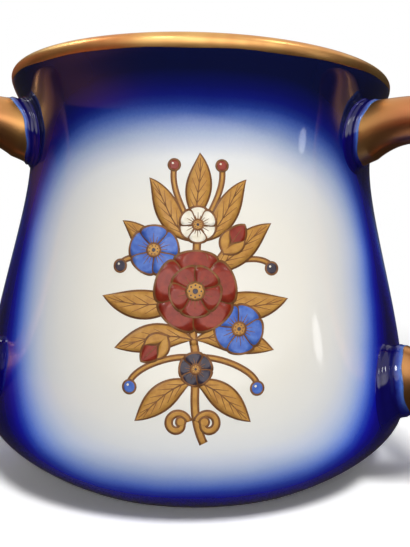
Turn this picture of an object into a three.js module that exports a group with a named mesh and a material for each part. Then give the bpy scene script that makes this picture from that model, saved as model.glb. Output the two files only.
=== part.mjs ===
// A three-handled porcelain drinking mug: a slip-cast body with a flared lip and a low belly,
// three cast loop handles stuck on at even turns, a cove of slip round each handle end,
// and a band of gilding over the lip.
// Millimetres, +Z up. The origin is the centre of the foot, on the plane the mug stands on.
// The main face looks along -Y, between the left and the right handle.
import * as THREE from "three";

// Body, outside
const footRadius = 33.6; // outer edge of the ring that the mug stands on
const footWidth = 3.2;
const footHeight = 1.3; // of the ring's outer side
const footSpread = 0.5; // how much wider the ring is at its top
const undersideRadius = 37.25; // where the underside turns up from near level
const undersideHeight = 1.5;
const undersideSlope = 28.4; // degrees, of the underside from there
const undersideLead = 7; // how far it keeps that slope
const bellyRadius = 55.2;
const bellyHeight = 20.1;
const bellyRoundBelow = 8; // how far the wall stays upright below the belly, and above it
const bellyRoundAbove = 19.5;
const waistRadius = 45;
const waistDrop = 21.2; // from the top of the lip down to the narrowest place
const waistRoundBelow = 14;
const waistRoundAbove = 13.5;
const lipRadius = 49.6;
const lipRoundBelow = 3.8; // how far the wall stays upright below the rounded edge of the lip
const overallHeight = 102;

// Body, inside
const wallThickness = 3.2;
const floorThickness = 5;
const floorRadius = 30; // of the flat of the floor
const floorRound = 11; // how far the floor stays level beyond its flat
const cornerRound = 7; // how far the inner wall stays upright below the belly
const recessDepth = 1; // of the underside within the foot ring

// Gilding over the lip
const giltThickness = 0.5;
const giltDepthOutside = 3.3; // measured down from the top of the lip
const giltDepthInside = 4;

// Handles
const handleSides = ["back", "left", "right"]; // in turn round the body, the first along +Y
const handleThickness = 10.5; // in the plane of the loop
const handleWidth = 10; // across it
const upperRootDrop = 16.2; // from the top of the lip down to the upper root
const upperRootRise = 22; // degrees, the arm's climb as it leaves the body
const upperLead = 24; // how far the arm keeps that direction
const lowerRootHeight = 29.4;
const lowerRootRise = 4;
const lowerLead = 19;
const handleReach = 80; // from the mug's axis to the furthest point of the loop's centreline
const handleReachHeight = 60;
const uprightAbove = 21; // how far the loop stays upright above that point, and below it
const uprightBelow = 18;
const flareLength = 12; // over which the handle's ends swell towards their coves
const upperFlare = 0.34; // share by which the upper end is thicker within its cove
const lowerFlare = 0.48;
const widthFlare = 0.1; // share by which both ends are wider there

// Coves of slip round the handle ends
const upperCoveHeight = 2.7; // from the body's surface, beside the handle
const upperCoveLean = 0.7; // how much higher it is on the outside of the loop, and lower on its inside
const upperCoveOutside = 0.8; // width on the body, on the outside of the loop
const upperCoveBeside = 1.4;
const upperCoveInside = 1.2;
const lowerCoveHeight = 5.3;
const lowerCoveLean = 0.2;
const lowerCoveOutside = 4.9;
const lowerCoveBeside = 1.7;
const lowerCoveInside = 0.6;
const coveEdge = 0.4; // thickness of the edge that lies on the handle

const slipGap = 0.3; // joint between pieces that are stuck together

// Facets
const turnSegments = 60;
const undersideSteps = 7;
const flankSteps = 9;
const flareSteps = 7;
const cornerSteps = 5;
const handleSegments = 26; // along the loop
const handleSectionSides = 18;
const coveSides = 20;
const coveRoundSteps = 4;
const beadSteps = 6;
const degrees = Math.PI / 180;

const cobaltGlaze = new THREE.MeshStandardMaterial({ color: 0x12239a, roughness: 0.08, metalness: 0 });
const brightGilding = new THREE.MeshStandardMaterial({ color: 0xc98a3c, roughness: 0.3, metalness: 1 });
const bronzeGilding = new THREE.MeshStandardMaterial({ color: 0xa8662c, roughness: 0.4, metalness: 1 });
const slipGlaze = new THREE.MeshStandardMaterial({ color: 0x2b4dab, roughness: 0.08, metalness: 0 });

const vector = (x, y) => new THREE.Vector2(x, y);
const directed = (angle, length = 1) =>
  vector(Math.cos(angle * degrees), Math.sin(angle * degrees)).multiplyScalar(length);
const bezier = (start, startLead, endLead, end) =>
  new THREE.CubicBezierCurve(start, start.clone().add(startLead), end.clone().add(endLead), end);

// Point of a curve with the unit normal on its right: outwards on a profile drawn upwards.
function station(curve, t) {
  const tangent = curve.getTangent(t);
  return { point: curve.getPoint(t), normal: vector(tangent.y, -tangent.x) };
}

function stations(curve, steps, from = 0, to = 1) {
  return Array.from({ length: steps + 1 }, (_, i) => station(curve, from + ((to - from) * i) / steps));
}

// Points at a distance from their stations, along the normals; a negative one is inwards.
function offset(list, distance) {
  return list.map(({ point, normal }) => point.clone().addScaledVector(normal, distance));
}

// Where a rising function of one number passes a value, by halving.
function crossing(rising, value, low, high) {
  for (let i = 0; i < 40; i++) {
    const middle = (low + high) / 2;
    if (rising(middle) < value) low = middle;
    else high = middle;
  }
  return (low + high) / 2;
}

// The body's outside, from the underside to the widest place of the lip, as (radius, height).
const beadRadius = wallThickness / 2;
const beadCentre = vector(lipRadius - beadRadius, overallHeight - beadRadius);
const undersideStart = vector(undersideRadius, undersideHeight);
const belly = vector(bellyRadius, bellyHeight);
const waist = vector(waistRadius, overallHeight - waistDrop);
const lipEdge = vector(lipRadius, overallHeight - beadRadius);
const undersideRise = directed(undersideSlope, undersideLead);
const underside = bezier(undersideStart, undersideRise, vector(0, -bellyRoundBelow), belly);
const flank = bezier(belly, vector(0, bellyRoundAbove), vector(0, -waistRoundBelow), waist);
const flare = bezier(waist, vector(0, waistRoundAbove), vector(0, -lipRoundBelow), lipEdge);
const outside = [
  ...stations(underside, undersideSteps),
  ...stations(flank, flankSteps).slice(1),
  ...stations(flare, flareSteps).slice(1),
];

// Where the flare, moved inwards by an inset, reaches a depth below the top of the lip.
function flareAt(depth, inset) {
  const height = (t) => offset([station(flare, t)], -inset)[0].y;
  return crossing(height, overallHeight - depth, 0, 1);
}

// The outline over the lip between a depth on the outside and one on the inside, moved inwards.
function overLip(depthOutside, depthInside, inset) {
  const bead = Array.from({ length: beadSteps + 1 }, (_, i) =>
    directed((180 * i) / beadSteps, beadRadius - inset).add(beadCentre),
  );
  const innerFace = stations(flare, 3, 1, flareAt(depthInside, wallThickness));
  return [
    ...offset(stations(flare, 2, flareAt(depthOutside, 0), 1), -inset),
    ...bead.slice(1, -1),
    ...offset(innerFace, inset - wallThickness),
  ];
}

function revolved(profile) {
  const geometry = new THREE.LatheGeometry(profile, turnSegments);
  geometry.rotateX(Math.PI / 2);
  return geometry;
}

function bodyGeometry() {
  const rebate = giltThickness + slipGap;
  const rebateOutside = giltDepthOutside + slipGap;
  const rebateInside = giltDepthInside + slipGap;
  const ringInside = footRadius - footWidth;
  const innerBelly = vector(bellyRadius - wallThickness, bellyHeight);
  const floorEdge = vector(floorRadius, floorThickness);
  const corner = bezier(innerBelly, vector(0, -cornerRound), vector(floorRound, 0), floorEdge);
  return revolved([
    vector(0, recessDepth),
    vector(ringInside - recessDepth, recessDepth),
    vector(ringInside, 0),
    vector(footRadius, 0),
    vector(footRadius + footSpread, footHeight),
    ...offset(stations(underside, undersideSteps), 0),
    ...offset(stations(flank, flankSteps), 0).slice(1),
    ...offset(stations(flare, flareSteps, 0, flareAt(rebateOutside, 0)), 0).slice(1),
    ...overLip(rebateOutside, rebateInside, rebate),
    ...offset(stations(flare, flareSteps, flareAt(rebateInside, wallThickness), 0), -wallThickness),
    ...offset(stations(flank, flankSteps, 1, 0), -wallThickness).slice(1),
    ...corner.getPoints(cornerSteps).slice(1),
    vector(0, floorThickness),
  ]);
}

// A U-shaped band that lies in the body's rebate, flush with the wall on both sides.
function giltRimGeometry() {
  const outer = overLip(giltDepthOutside, giltDepthInside, 0);
  const inner = overLip(giltDepthOutside, giltDepthInside, giltThickness);
  return revolved([...outer, ...inner.reverse(), outer[0]]);
}

function bodyRadiusAt(height) {
  const next = Math.max(1, outside.findIndex(({ point }) => point.y >= height));
  const [below, above] = [outside[next - 1].point, outside[next].point];
  return THREE.MathUtils.mapLinear(height, below.y, above.y, below.x, above.x);
}

// Distance of a point from the body's outside, negative within it.
function clearOfBody({ x, y, z }) {
  const place = vector(Math.hypot(x, y), z);
  let nearest = Infinity;
  for (let i = 1; i < outside.length; i++) {
    const start = outside[i - 1].point;
    const along = outside[i].point.clone().sub(start);
    const share = THREE.MathUtils.clamp(place.clone().sub(start).dot(along) / along.lengthSq(), 0, 1);
    const away = place.clone().sub(start.clone().addScaledVector(along, share));
    const distance = away.length() * Math.sign(away.dot(outside[i].normal) || 1);
    if (Math.abs(distance) < Math.abs(nearest)) nearest = distance;
  }
  return nearest;
}

// The centreline of a handle, from its upper root to its lower one, as (radius, height).
const rootAt = (height) => vector(bodyRadiusAt(height), height);
const upperRoot = rootAt(overallHeight - upperRootDrop);
const lowerRoot = rootAt(lowerRootHeight);
const furthest = vector(handleReach, handleReachHeight);
const centreline = new THREE.CurvePath();
centreline.add(bezier(upperRoot, directed(upperRootRise, upperLead), vector(0, uprightAbove), furthest));
centreline.add(bezier(furthest, vector(0, -uprightBelow), directed(lowerRootRise, lowerLead), lowerRoot));
const loopLength = centreline.getLength();

// How much of an end's swelling is left at a distance from the body: all of it within the cove.
const swelling = (distance, coveHeight) =>
  THREE.MathUtils.clamp(1 - (distance - coveHeight) / flareLength, 0, 1) ** 2;

// Point and direction of the centreline at a distance along it. It runs on straight past its roots.
function onCentreline(along) {
  const share = THREE.MathUtils.clamp(along / loopLength, 0, 1);
  const tangent = centreline.getTangent(share);
  const centre = centreline.getPoint(share).addScaledVector(tangent, along - share * loopLength);
  return { centre, tangent };
}

// Point on a handle's skin or at a distance off it, at an angle round the section: 0 is on the
// outside of the loop.
function onHandle(along, angle, off = 0) {
  const { centre, tangent } = onCentreline(along);
  const upper = swelling(along, upperCoveHeight);
  const lower = swelling(loopLength - along, lowerCoveHeight);
  const swollen = 1 + upperFlare * upper + lowerFlare * lower;
  const inPlane = (handleThickness / 2) * swollen + off;
  const across = (handleWidth / 2) * (1 + widthFlare * (upper + lower)) + off;
  const radial = centre.x - tangent.y * inPlane * Math.cos(angle);
  const height = centre.y + tangent.x * inPlane * Math.cos(angle);
  return new THREE.Vector3(radial, across * Math.sin(angle), height);
}

// How far along the loop a line that follows it is at a height above the body, near one of the roots.
function alongAt(upper, heightAboveBody, lineAt) {
  const fromRoot = (distance) => (upper ? distance : loopLength - distance);
  const height = (distance) => clearOfBody(lineAt(fromRoot(distance)));
  return fromRoot(crossing(height, heightAboveBody, -handleThickness, 2 * handleThickness));
}

// A closed skin through rings of points, each joined to the next. With end points the skin is a bar
// whose ends are fans, and without them it closes in a circle.
function skinned(rings, ends = []) {
  const points = [...rings.flat(), ...ends];
  const sides = rings[0].length;
  const strips = ends.length ? rings.length - 1 : rings.length;
  const corner = (ring, side) => (ring % rings.length) * sides + (side % sides);
  const faces = [];
  for (let side = 0; side < sides; side++) {
    for (let ring = 0; ring < strips; ring++) {
      const [a, b] = [corner(ring, side), corner(ring, side + 1)];
      const [c, d] = [corner(ring + 1, side + 1), corner(ring + 1, side)];
      faces.push(a, d, c, a, c, b);
    }
    if (ends.length) {
      const [start, stop] = [points.length - 2, points.length - 1];
      faces.push(start, corner(0, side), corner(0, side + 1));
      faces.push(stop, corner(strips, side + 1), corner(strips, side));
    }
  }
  const geometry = new THREE.BufferGeometry().setFromPoints(points);
  geometry.setIndex(faces);
  geometry.computeVertexNormals();
  return geometry;
}

const anglesRound = (sides) => Array.from({ length: sides }, (_, i) => (2 * Math.PI * i) / sides);

// A loop whose ends are saddles, cut to the body's curve at a joint's width from it. Each line of
// the skin runs from cut to cut in equal steps.
function handleGeometry() {
  const lines = anglesRound(handleSectionSides).map((angle) => {
    const lineAt = (along) => onHandle(along, angle);
    const [start, stop] = [alongAt(true, slipGap, lineAt), alongAt(false, slipGap, lineAt)];
    return (share) => lineAt(THREE.MathUtils.lerp(start, stop, share));
  });
  const rings = Array.from({ length: handleSegments + 1 }, (_, i) =>
    lines.map((line) => line(i / handleSegments)),
  );
  const axisAt = (along) => {
    const { centre } = onCentreline(along);
    return new THREE.Vector3(centre.x, 0, centre.y);
  };
  return skinned(rings, [axisAt(alongAt(true, slipGap, axisAt)), axisAt(alongAt(false, slipGap, axisAt))]);
}

// Width of a cove on the body at an angle round the handle, eased between its three widths.
function coveWidthAt(upper, angle) {
  const beside = upper ? upperCoveBeside : lowerCoveBeside;
  const outside = upper ? upperCoveOutside : lowerCoveOutside;
  const inside = upper ? upperCoveInside : lowerCoveInside;
  const turned = Math.cos(angle);
  return beside + ((outside - inside) / 2) * turned + ((outside + inside) / 2 - beside) * turned ** 2;
}

function coveHeightAt(upper, angle) {
  const [beside, lean] = upper ? [upperCoveHeight, upperCoveLean] : [lowerCoveHeight, lowerCoveLean];
  return beside + lean * Math.cos(angle);
}

// A ring that fills the corner between the body and a handle's end: level on the body, steep on the
// handle, and hollowed by a quarter of an ellipse between them.
function coveGeometry(upper) {
  const hollow = Array.from({ length: coveRoundSteps + 1 }, (_, i) => directed((90 * i) / coveRoundSteps));
  const rings = anglesRound(coveSides).map((angle) => {
    const width = coveWidthAt(upper, angle);
    const top = coveHeightAt(upper, angle);
    const section = [
      { off: slipGap, height: slipGap },
      ...hollow.map(({ x, y }) => ({
        off: slipGap + coveEdge + width * (1 - y),
        height: slipGap + (top - slipGap) * (1 - x),
      })),
      { off: slipGap, height: top },
    ];
    return section.map(({ off, height }) => {
      const lineAt = (along) => onHandle(along, angle, off);
      return lineAt(alongAt(upper, height, lineAt));
    });
  });
  return skinned(upper ? rings.reverse() : rings);
}

function piece(name, geometry, material) {
  const mesh = new THREE.Mesh(geometry, material);
  mesh.name = name;
  return mesh;
}

const mug = new THREE.Group();
mug.add(piece("cup_body", bodyGeometry(), cobaltGlaze));
mug.add(piece("gilt_rim", giltRimGeometry(), brightGilding));
handleSides.forEach((side, i) => {
  const stuckOn = new THREE.Group();
  stuckOn.rotation.z = Math.PI / 2 + (2 * Math.PI * i) / handleSides.length;
  stuckOn.add(piece(`handle_${side}`, handleGeometry(), bronzeGilding));
  stuckOn.add(piece(`slip_cove_upper_${side}`, coveGeometry(true), slipGlaze));
  stuckOn.add(piece(`slip_cove_lower_${side}`, coveGeometry(false), slipGlaze));
  mug.add(stuckOn);
});

export default mug;
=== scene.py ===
"""A porcelain drinking mug with three handles: air-brushed cobalt round white panels, a gilt lip and
gilt handles, and a printed spray of flowers on the front panel. Metres, +Z up, the front faces -Y."""

import bpy
import numpy as np
from bpy.props import FloatProperty, FloatVectorProperty, IntProperty, PointerProperty
from mathutils import Matrix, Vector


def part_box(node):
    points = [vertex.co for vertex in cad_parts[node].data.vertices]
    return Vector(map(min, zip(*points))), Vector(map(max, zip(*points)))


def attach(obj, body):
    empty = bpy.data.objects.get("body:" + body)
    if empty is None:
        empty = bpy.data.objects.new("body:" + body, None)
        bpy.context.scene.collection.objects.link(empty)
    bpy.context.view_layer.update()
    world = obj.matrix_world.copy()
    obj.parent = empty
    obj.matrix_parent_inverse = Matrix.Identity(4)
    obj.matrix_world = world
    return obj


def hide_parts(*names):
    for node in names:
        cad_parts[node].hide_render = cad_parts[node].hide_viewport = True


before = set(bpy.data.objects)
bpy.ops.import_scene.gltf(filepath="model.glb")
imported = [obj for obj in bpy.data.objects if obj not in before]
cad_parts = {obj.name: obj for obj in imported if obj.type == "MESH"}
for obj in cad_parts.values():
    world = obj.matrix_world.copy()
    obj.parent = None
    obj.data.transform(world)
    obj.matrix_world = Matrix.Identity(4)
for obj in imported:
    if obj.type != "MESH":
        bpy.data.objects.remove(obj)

bl_info = {
    "name": "Three-handled gilt mug",
    "version": (1, 0, 0),
    "blender": (4, 5, 0),
    "location": "3D View > Sidebar > Mug",
    "description": "Builds the glazed, gilt and printed surfaces of a three-handled mug",
    "category": "Add Mesh",
}

MM = 0.001
TURN = 2 * np.pi
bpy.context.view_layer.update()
SIDES = {"back": TURN / 4, "left": TURN * 7 / 12, "right": TURN * 11 / 12}  # turn of each handle from +X
FRONT = -TURN / 4  # turn of the front from +X
TOP_OF_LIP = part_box("gilt_rim")[1]
OUT_OF_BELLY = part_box("cup_body")[1]
OUT_OF_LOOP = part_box("handle_back")[1]

WALL_STEPS = (24, 80, 40)  # steps of the wall up to the belly, the waist and the lip
LOOP_POINTS = 401  # points of each half of a handle's centreline
BEND_POINTS = 25  # points of a curve that turns a bend
CORNER_POINTS = 6  # points of a small rounded corner
CURVE_POINTS = 30  # points of a printed curve
WALL_REACH = 8 * MM  # how far above and below a point its nearest point of the wall is looked for
HALVINGS = 24  # halvings of a length until it meets the wall
COVE_BEADS = ((0.78, 0.1, 1), (0.4, 0.12, 0.5))  # place and spread as shares of a cove's section, and height
BELOW_GLAZE = -1.0  # level of a film's underside
# Millimetres beyond a panel's edge, and the colour there
COBALT_FADE = ((-20, "#E8E4D9"), (-12, "#E1E0DB"), (-8, "#D8DADC"), (-5, "#C8D0E2"), (-2.5, "#AFC0E3"),
               (0, "#88A2E4"), (2, "#5C7CDA"), (4, "#2B48BE"), (6, "#1118A4"), (8, "#0B0686"),
               (12, "#07024E"))
# Share of the way across a cove towards the gold, and the colour there
SLIP_FADE = ((0, "#0B056C"), (0.35, "#080448"), (0.78, "#0D0A56"), (0.88, "#2A3E96"), (0.95, "#5276C4"),
             (1, "#3F6098"))
# Turn to the right of the front and rise in degrees, distance, width and height in millimetres, and watts
LAMPS = {"key_lamp": (18, 43, 800, 130, 130, 4.1), "low_lamp": (0, 15, 900, 500, 300, 1.3)}
GLINTS = {"right_glint": (57, 47, 800, 80, 160, 0.5), "left_glint": (-80, 45, 800, 120, 160, 0.8),
          "front_glint": (-15, 30, 800, 60, 160, 0.5), "strip_glint": (70, 8, 900, 80, 130, 0.11)}
MUG_MIDDLE = 50 * MM  # height that the lamps face
CARD_WHITE, WOOD_RED, TENT_DARK = (1, 0.97, 0.92), (1, 0.3, 0.16), (0.04, 0.034, 0.03)  # light of the tent


# Values that a user may change

def length(label, about, millimetres):
    """A length in metres, given in millimetres."""
    return FloatProperty(name=label, description=about, default=millimetres * MM, precision=5,
                         unit="LENGTH", subtype="DISTANCE")


def pair(label, about, first, second):
    """Two lengths in metres, given in millimetres."""
    return FloatVectorProperty(name=label, description=about, default=(first * MM, second * MM), size=2,
                               precision=5, unit="LENGTH")


def angle(label, about, degrees):
    """An angle in radians, given in degrees."""
    return FloatProperty(name=label, description=about, default=np.radians(degrees), unit="ROTATION",
                         subtype="ANGLE")


def share(label, about, value):
    """A share of something else."""
    return FloatProperty(name=label, description=about, default=value, subtype="FACTOR", soft_min=0,
                         soft_max=1)


def count(label, about, value):
    """A number of steps, sides or copies."""
    return IntProperty(name=label, description=about, default=value, min=1)


def linear(code):
    """An sRGB hex code as linear red, green and blue: c / 12.92 up to 0.04045, and above it
    ((c + 0.055) / 1.055) to the power of 2.4."""
    c = np.array([int(code[i:i + 2], 16) for i in (1, 3, 5)]) / 255
    return tuple(float(v) for v in np.where(c <= 0.04045, c / 12.92, ((c + 0.055) / 1.055) ** 2.4))


def colour(label, about, code):
    """A colour, given as an sRGB hex code."""
    return FloatVectorProperty(name=label, description=about, default=linear(code), subtype="COLOR",
                               size=3, min=0, max=1)


class BodySizes(bpy.types.PropertyGroup):
    """The cast body: its outside from the foot to the lip, and its inside."""
    foot_radius: length("Foot radius", "Outer edge of the ring that the mug stands on", 33.6)
    foot_width: length("Foot width", "Width of that ring", 3.2)
    foot_height: length("Foot height", "Height of the ring's outer side", 1.3)
    foot_spread: length("Foot spread", "How much wider the ring is at its top", 0.5)
    underside_radius: length("Underside radius", "Where the underside turns up from near level", 37.25)
    underside_height: length("Underside height", "Height of the underside there", 1.5)
    underside_slope: angle("Underside slope", "Slope of the underside from there", 28.4)
    underside_lead: length("Underside lead", "How far it keeps that slope", 7)
    belly_radius: length("Belly radius", "Widest radius of the body", OUT_OF_BELLY.x / MM)
    belly_height: length("Belly height", "Height of the widest place", 20.1)
    belly_round: pair("Belly round", "How far the wall stays upright below and above the belly", 8, 19.5)
    waist_radius: length("Waist radius", "Narrowest radius under the lip", 45)
    waist_drop: length("Waist drop", "From the top of the lip down to the narrowest place", 21.2)
    waist_round: pair("Waist round", "How far the wall stays upright below and above the waist", 14, 13.5)
    lip_radius: length("Lip radius", "Outer radius of the lip", TOP_OF_LIP.x / MM)
    overall_height: length("Overall height", "Height of the lip", TOP_OF_LIP.z / MM)
    lip_round_below: length("Lip round below", "How far the wall stays upright below the lip's edge", 3.8)
    wall: length("Wall", "Thickness of the wall", 3.2)
    floor: length("Floor", "Height of the inner floor", 5)
    floor_radius: length("Floor radius", "Radius of the flat of the floor", 30)
    floor_round: length("Floor round", "How far the floor stays level beyond its flat", 11)
    corner_round: length("Corner round", "How far the inner wall stays upright below the belly", 7)
    recess: length("Recess", "Depth of the underside within the foot ring", 1)
    edge_round: length("Edge round", "Rounding of the foot ring's edges", 0.45)
    segments: count("Segments", "Steps round the body", 240)


class HandleSizes(bpy.types.PropertyGroup):
    """The loop of a handle and the coves of slip round its two ends."""
    thickness: length("Thickness", "Thickness in the plane of the loop", 10.5)
    width: length("Width", "Width across the loop", 10)
    upper_root_drop: length("Upper root", "From the top of the lip down to the upper root", 16.2)
    upper_root_rise: angle("Upper rise", "Climb of the arm as it leaves the body", 22)
    lower_root_height: length("Lower root", "Height of the lower root", 29.4)
    lower_root_rise: angle("Lower rise", "Climb of the lower arm as it leaves the body", 4)
    lead: pair("Lead", "How far the upper and the lower arm keep their directions", 24, 19)
    reach: length("Reach", "From the mug's axis to the furthest point of the loop's centreline",
                  OUT_OF_LOOP.y / MM - 10.5 / 2)
    reach_height: length("Reach height", "Height of that point", 60)
    upright: pair("Upright", "How far the loop stays upright below and above that point", 18, 21)
    flare_length: length("Flare length", "Length over which the ends swell towards the coves", 12)
    upper_flare: share("Upper flare", "Share by which the upper end is thicker", 0.34)
    lower_flare: share("Lower flare", "Share by which the lower end is thicker", 0.48)
    width_flare: share("Width flare", "Share by which both ends are wider", 0.1)
    cove_height: pair("Cove height", "Height of the upper and the lower cove above the body", 2.7, 5.3)
    cove_lean: pair("Cove lean", "How much higher they are on the outside of the loop", 0.7, 0.2)
    cove_outside: pair("Cove outside", "Their width on the outside of the loop", 0.8, 4.9)
    cove_beside: pair("Cove beside", "Their width beside the handle", 1.4, 1.7)
    cove_inside: pair("Cove inside", "Their width on the inside of the loop", 1.2, 0.6)
    cove_bead: length("Cove bead", "Height of the higher of the two beads of slip round a cove", 0.3)
    cove_proud: length("Cove proud", "How far a cove stands off the body and the handle", 0.05)
    cove_sunk: length("Cove sunk", "How deep a cove goes into them", 0.4)
    root_depth: length("Root depth", "How deep a handle goes into the body", 0.5)
    brush_waver: length("Brush waver", "How far the edge of the gilding strays along a handle", 0.12)
    sides: count("Sides", "Steps round a handle and a cove", 96)
    steps: count("Steps", "Steps along a handle", 180)


class DecorationSizes(bpy.types.PropertyGroup):
    """The gilding of the lip, the white panels and the printed spray."""
    gilt_outside: length("Gilding outside", "Depth of the lip's gilding on the outside", 3.3)
    gilt_thinner: length("Gilding thinner", "How much less deep it is at the sides", 0.6)
    gilt_inside: length("Gilding inside", "Depth of the lip's gilding on the inside", 4)
    gilt_proud: length("Gilding proud", "How far the gilding stands off the glaze", 0.04)
    gilt_sunk: length("Gilding sunk", "How deep its inner face lies under the glaze", 0.2)
    gilt_waver: length("Gilding waver", "How far the edges of the gilding stray", 0.12)
    panel_turn: angle("Panel turn", "Turn of the front panel's middle to the right", 5.5)
    panel_height: length("Panel height", "Height of the panels' middle", 49.5)
    panel_half_width: length("Half width", "Half of a panel's width round the body", 41.9)
    panel_reach: pair("Panel reach", "A panel's reach below and above its middle", 36.7, 35.4)
    panel_squareness: FloatProperty(name="Squareness", description="Power of the panels' rounded outline",
                                    default=2.84, min=2)
    spray_turn: angle("Spray turn", "Turn of the spray's middle to the right", 5.4)
    spray_height: length("Spray height", "Height of the spray's middle", 50)
    line: length("Line", "Width of the printed outline", 0.4)
    print_base: length("Print base", "How far the lowest printed film stands off the glaze", 0.02)
    print_step: length("Print step", "How much further each film above it stands off", 0.004)
    print_sunk: length("Print sunk", "How deep the films' undersides lie under the glaze", 0.05)


class Colours(bpy.types.PropertyGroup):
    """Colours of the glazes, the gilding and the print."""
    white_glaze: colour("White glaze", "Ivory white of the glazed body", "#E8E4D9")
    biscuit: colour("Biscuit", "Unglazed porcelain of the foot ring", "#D9D0BE")
    gilding: colour("Gilding", "Burnished gold of the lip", "#F0C47C")
    gilding_copper: colour("Coppery gilding", "Redder gold where the lip's gilding is thin", "#CE8652")
    bronze: colour("Bronze", "Gold of the handles", "#D8A263")
    bronze_copper: colour("Coppery bronze", "Copper tint of the handles away from their roots", "#C98358")
    print_gold: colour("Printed gold", "Ochre gold of the spray", "#BC8A3E")
    print_line: colour("Printed line", "Brown outline of the spray", "#6A4220")
    print_blue: colour("Printed blue", "Blue enamel of the spray", "#3458AC")
    print_red: colour("Printed red", "Red enamel of the spray", "#761B0A")
    print_dark: colour("Printed dark", "Near-black enamel of the spray", "#2A2432")
    print_ivory: colour("Printed ivory", "Ivory enamel of the spray", "#EFE9DA")


class StageSizes(bpy.types.PropertyGroup):
    """The camera's place and the studio."""
    distance: length("Camera distance", "From the mug's axis to the camera", 177.4)
    camera_height: length("Camera height", "Height of the camera", 60.9)
    camera_turn: angle("Camera turn", "Turn of the camera round the mug to the right", 6.49)
    yaw: angle("Yaw", "Turn of the view to the right of the axis", 3.06)
    pitch: angle("Pitch", "Tilt of the view below level", 2.1)
    roll: angle("Roll", "Roll of the camera to the left", 1.1)
    lens: FloatProperty(name="Lens", description="Focal length", default=42.219, unit="CAMERA")
    shift_right: share("Shift right", "Shift to the right, as a share of the picture's height", -0.0548)
    shift_up: share("Shift up", "Shift upwards, as a share of the picture's height", -0.0183)
    floor_size: length("Floor size", "Side of the floor", 6000)
    tent_radius: length("Tent radius", "Radius of the dark tent that the glaze mirrors", 1200)
    wood_glow: share("Wood glow", "Brightness of the reddish wood that shows on the left of the neck", 0.5)
    card_turn: angle("Card turn", "Turn of the pale card in the tent to the right of the front", 12)
    card_spread: angle("Card spread", "Turn on each side at which it has faded to a third", 50)
    card_glow: share("Card glow", "Brightness of that card", 2.5)
    top_glow: share("Top glow", "Brightness of the pale sky", 0.9)


# Curves and meshes

def directed(turn, size=1):
    """A vector of a size at an angle from the first axis."""
    return size * np.array([np.cos(turn), np.sin(turn)])


def cubic(start, start_lead, end_lead, end, t):
    """Points at t of a cubic curve, which leaves its start along one lead and reaches its end against
    another: the Bernstein sum of start, start + start_lead, end + end_lead and end."""
    corners = np.array([start, np.add(start, start_lead), np.add(end, end_lead), end], float)
    weights = np.stack([(1 - t) ** 3, 3 * t * (1 - t) ** 2, 3 * t ** 2 * (1 - t), t ** 3], -1)
    return weights @ corners


def joined(*runs):
    """Runs of points end to end, where each starts on the last point of the one before."""
    return np.vstack([runs[0]] + [run[1:] for run in runs[1:]])


def unit(vectors):
    """Vectors at a length of one."""
    return vectors / np.linalg.norm(vectors, axis=-1, keepdims=True)


def right_of(vectors):
    """Plane vectors turned a quarter to the right."""
    return np.stack([vectors[..., 1], -vectors[..., 0]], -1)


def normals_of(points):
    """Unit normals of a plane curve, on the right of its direction."""
    return right_of(unit(np.gradient(points, axis=0, edge_order=2)))


def lengths_along(points):
    """Length of a run of points from its first to each of them."""
    return np.concatenate([[0], np.cumsum(np.linalg.norm(np.diff(points, axis=0), axis=1))])


def read_off(places, keys, rows):
    """Rows of a table at places between its keys, each column on its own."""
    return np.stack([np.interp(places, keys, column) for column in rows.T], -1)


def all_round(number):
    """Turns of so many even steps round an axis."""
    return TURN / number * np.arange(number)


def around(radii, turns, heights):
    """Points at radii from the mug's axis, turns from +X and heights."""
    return np.stack(np.broadcast_arrays(radii * np.cos(turns), radii * np.sin(turns), heights), -1)


def rounded(points, radius):
    """A run of points whose inner corners are rounded: each corner is a quadratic curve that starts
    and ends a radius away from it, or a third of the shorter side."""
    points = np.array(points, float)
    corner = points[1:-1]
    back, on = points[:-2] - corner, points[2:] - corner
    size = np.minimum(np.linalg.norm(back, axis=1), np.linalg.norm(on, axis=1)) / 3
    size = np.minimum(radius, size)[:, None]
    start, end = corner + unit(back) * size, corner + unit(on) * size
    t = np.linspace(0, 1, CORNER_POINTS)[None, :, None]
    arcs = (1 - t) ** 2 * start[:, None] + 2 * t * (1 - t) * corner[:, None] + t ** 2 * end[:, None]
    return np.vstack([points[:1], arcs.reshape(-1, 2), points[-1:]])


def ring_quads(rows, columns, closed=False):
    """Quads of a grid of points whose columns close in a circle, and whose rows do too if closed."""
    i, j = np.meshgrid(np.arange(rows if closed else rows - 1), np.arange(columns), indexing="ij")
    below, above = i * columns, (i + 1) % rows * columns
    beside = (j + 1) % columns
    return np.stack([below + j, below + beside, above + beside, above + j], -1).reshape(-1, 4)


def end_fans(rows, columns):
    """Triangles that close the first and the last circle of such a grid with two points after it."""
    j = np.arange(columns)
    beside = (j + 1) % columns
    last = (rows - 1) * columns
    end = np.full(columns, rows * columns)
    return np.vstack([np.stack([end, beside, j], -1), np.stack([end + 1, last + j, last + beside], -1)])


def turned_outwards(points, quads, triangles):
    """The same faces, reversed if the volume that they enclose comes out negative: a sixth of the sum
    of a . (b x c) over their triangles."""
    flat = np.vstack([quads[:, [0, 1, 2]], quads[:, [0, 2, 3]], triangles])
    a, b, c = (points[flat[:, k]] for k in range(3))
    if np.einsum("ij,ij->", a, np.cross(b, c)) < 0:
        return quads[:, ::-1], triangles[:, ::-1]
    return quads, triangles


def put(name, data):
    """A new object in the scene, for a mesh, a lamp or a camera."""
    item = bpy.data.objects.new(name, data)
    bpy.context.scene.collection.objects.link(item)
    return item


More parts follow.
